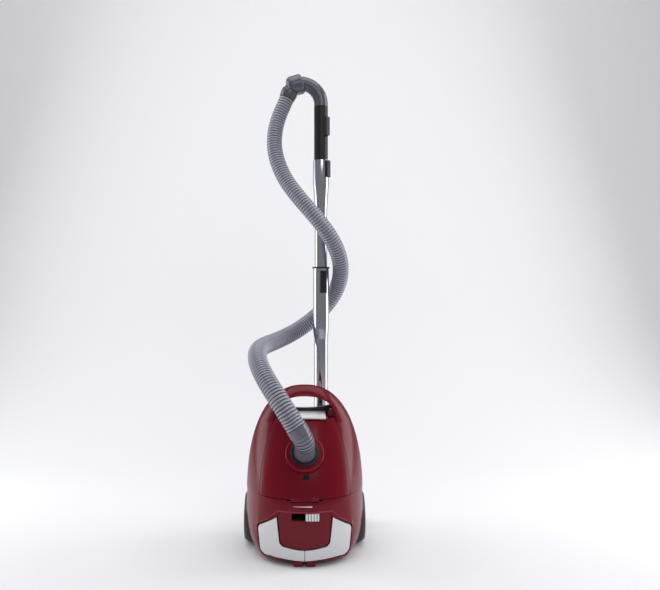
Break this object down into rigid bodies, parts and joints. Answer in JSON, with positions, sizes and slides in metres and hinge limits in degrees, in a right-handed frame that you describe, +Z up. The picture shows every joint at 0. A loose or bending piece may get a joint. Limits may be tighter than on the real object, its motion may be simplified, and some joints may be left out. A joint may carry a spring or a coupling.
{
  "type": "canister vacuum cleaner",
  "caption": "Canister vacuum cleaner parked upright, with hinged lid, foot pedals, wheels, ribbed hose, telescopic wand and floor nozzle.",
  "frame": {"origin": "on the floor, under the middle of the upright cleaner and its parked wand", "axes": "+Z up, -Y the lid side, +X the right-hand side seen from the lid side"},
  "size_m": [0.2795, 0.3791, 1.1117],
  "materials": {
    "red_shell": "glossy",
    "dark_shell": "satin",
    "silver_pedals": "satin metallic paint",
    "white_plastic": "glossy",
    "black_plastic": "satin",
    "slate_plastic": "satin",
    "hose_plastic": "satin",
    "chrome_tube": "polished",
    "steel": "plain",
    "rubber": "matt",
    "filter": "matt",
    "bag": "matt",
    "board": "satin",
    "window": "glossy"
  },
  "bodies": {
    "cleaner": {"housing": "red_shell", "carry_handle": "red_shell", "base_shell": "dark_shell", "nose_trim": "dark_shell", "tail_feet": "red_shell", "foot_pads": "rubber", "hinge_pin": "steel", "wheel_pins": "steel", "base_screws": "steel", "cord_outlet": "black_plastic", "exhaust_grille": "dark_shell", "exhaust_filter": "filter", "park_socket": "dark_shell", "motor_can": "dark_shell", "motor_foot": "rubber", "motor_seal": "rubber", "partition": "dark_shell", "motor_filter": "filter", "bag_holder": "slate_plastic", "dust_bag": "bag", "reel_spindle": "dark_shell", "control_board": "board", "hose": "hose_plastic"},
    "lid": {"lid": "red_shell", "bag_window": "window", "inlet_ring": "black_plastic", "inlet_elbow": "slate_plastic"},
    "lid_latch": {"lid_latch": "white_plastic"},
    "hose_collar": {"hose_collar": "slate_plastic"},
    "switch_pedal": {"switch_pedal": "silver_pedals"},
    "rewind_pedal": {"rewind_pedal": "silver_pedals"},
    "power_slider": {"power_slider": "white_plastic"},
    "left_wheel": {"left_wheel": "dark_shell"},
    "right_wheel": {"right_wheel": "dark_shell"},
    "caster_fork": {"caster_fork": "dark_shell", "caster_axle": "steel"},
    "caster_roller": {"caster_roller": "rubber"},
    "cord_reel": {"cord_reel": "black_plastic"},
    "rotor": {"motor_rotor": "steel", "fan_wheel": "steel"},
    "wand_outer": {"outer_tube": "chrome_tube", "tube_sleeve": "chrome_tube", "tube_flange": "black_plastic", "nozzle_neck": "black_plastic"},
    "wand_inner": {"inner_tube": "chrome_tube", "handle_socket": "chrome_tube", "handle_grip": "black_plastic", "handle_bend": "slate_plastic"},
    "tube_lock_button": {"tube_lock_button": "black_plastic"},
    "handle_latch": {"handle_latch": "black_plastic"},
    "air_valve": {"air_valve": "black_plastic"},
    "handle_swivel": {"handle_swivel": "slate_plastic"},
    "nozzle": {"nozzle_head": "black_plastic", "nozzle_sole": "steel", "nozzle_pin": "steel"},
    "nozzle_pedal": {"nozzle_pedal": "slate_plastic"},
    "brush_strip": {"brush_strip": "black_plastic"},
    "left_roller": {"left_roller": "rubber"},
    "right_roller": {"right_roller": "rubber"}
  },
  "joints": [
    {"name": "lid_hinge", "type": "hinge", "parent": "cleaner", "child": "lid", "pos_m": [0, -0.15238, 0.143], "axis": [1, 0, 0], "range_deg": [0, 60], "deforming": ["hose"]},
    {"name": "latch_press", "type": "hinge", "parent": "lid", "child": "lid_latch", "pos_m": [0, -0.0902, 0.3015], "axis": [1, 0, 0], "range_deg": [0, 15], "stiffness_Nm_per_rad": 0.6},
    {"name": "collar_swivel", "type": "hinge", "parent": "lid", "child": "hose_collar", "pos_m": [-0.017, -0.178, 0.297], "axis": [-0.5311, 0.0916, 0.8424], "continuous": true},
    {"name": "switch_press", "type": "slide", "parent": "cleaner", "child": "switch_pedal", "axis": [0, 1, 0], "range_m": [0, 0.004], "stiffness_N_per_m": 500},
    {"name": "rewind_press", "type": "slide", "parent": "cleaner", "child": "rewind_pedal", "axis": [0, 1, 0], "range_m": [0, 0.004], "stiffness_N_per_m": 500},
    {"name": "power_slide", "type": "slide", "parent": "cleaner", "child": "power_slider", "axis": [-1, 0, 0], "range_m": [0, 0.028]},
    {"name": "left_wheel_roll", "type": "hinge", "parent": "cleaner", "child": "left_wheel", "pos_m": [-0.126, 0.014, 0.058], "axis": [1, 0, 0], "continuous": true},
    {"name": "right_wheel_roll", "type": "hinge", "parent": "cleaner", "child": "right_wheel", "pos_m": [0.126, 0.014, 0.058], "axis": [1, 0, 0], "continuous": true},
    {"name": "caster_swivel", "type": "hinge", "parent": "cleaner", "child": "caster_fork", "pos_m": [0, 0.044, 0.246], "axis": [0, 1, 0], "continuous": true},
    {"name": "caster_roll", "type": "hinge", "parent": "caster_fork", "child": "caster_roller", "pos_m": [0, 0.06, 0.237], "axis": [1, 0, 0], "continuous": true},
    {"name": "reel_turn", "type": "hinge", "parent": "cleaner", "child": "cord_reel", "pos_m": [0, 0.024, 0.084], "axis": [0, 1, 0], "continuous": true},
    {"name": "motor_spin", "type": "hinge", "parent": "cleaner", "child": "rotor", "pos_m": [0, -0.058, 0.09], "axis": [0, 0, 1], "continuous": true},
    {"name": "wand_lift", "type": "slide", "parent": "cleaner", "child": "wand_outer", "axis": [0, 0, 1], "range_m": [0, 0.05], "deforming": ["hose"]},
    {"name": "wand_extend", "type": "slide", "parent": "wand_outer", "child": "wand_inner", "axis": [0, 0, 1], "range_m": [-0.14, 0.2], "deforming": ["hose"]},
    {"name": "tube_lock", "type": "slide", "parent": "wand_outer", "child": "tube_lock_button", "axis": [0, 0, -1], "range_m": [0, 0.008], "stiffness_N_per_m": 300},
    {"name": "handle_release", "type": "slide", "parent": "wand_inner", "child": "handle_latch", "axis": [0, 0, -1], "range_m": [0, 0.004], "stiffness_N_per_m": 400},
    {"name": "air_valve_slide", "type": "slide", "parent": "wand_inner", "child": "air_valve", "axis": [0, 0, -1], "range_m": [0, 0.014]},
    {"name": "handle_swivel_turn", "type": "hinge", "parent": "wand_inner", "child": "handle_swivel", "pos_m": [-0.044, 0.11, 1.052], "axis": [-0.4008, 0, -0.9162], "continuous": true},
    {"name": "nozzle_tilt", "type": "hinge", "parent": "wand_outer", "child": "nozzle", "pos_m": [0.04, 0.11, 0.036], "axis": [1, 0, 0], "range_deg": [-50, 0]},
    {"name": "nozzle_pedal_rock", "type": "hinge", "parent": "nozzle", "child": "nozzle_pedal", "pos_m": [0.04, 0.149, 0.0275], "axis": [1, 0, 0], "range_deg": [0, 8]},
    {"name": "brush_drop", "type": "slide", "parent": "nozzle", "child": "brush_strip", "axis": [0, 0, 1], "range_m": [-0.0025, 0]},
    {"name": "left_roller_roll", "type": "hinge", "parent": "nozzle", "child": "left_roller", "pos_m": [-0.03, 0.101, 0.005], "axis": [1, 0, 0], "continuous": true},
    {"name": "right_roller_roll", "type": "hinge", "parent": "nozzle", "child": "right_roller", "pos_m": [0.11, 0.101, 0.005], "axis": [1, 0, 0], "continuous": true}
  ],
  "couplings": [
    {"joint": "brush_drop", "follows": "nozzle_pedal_rock", "m_per_rad": -0.0179}
  ]
}
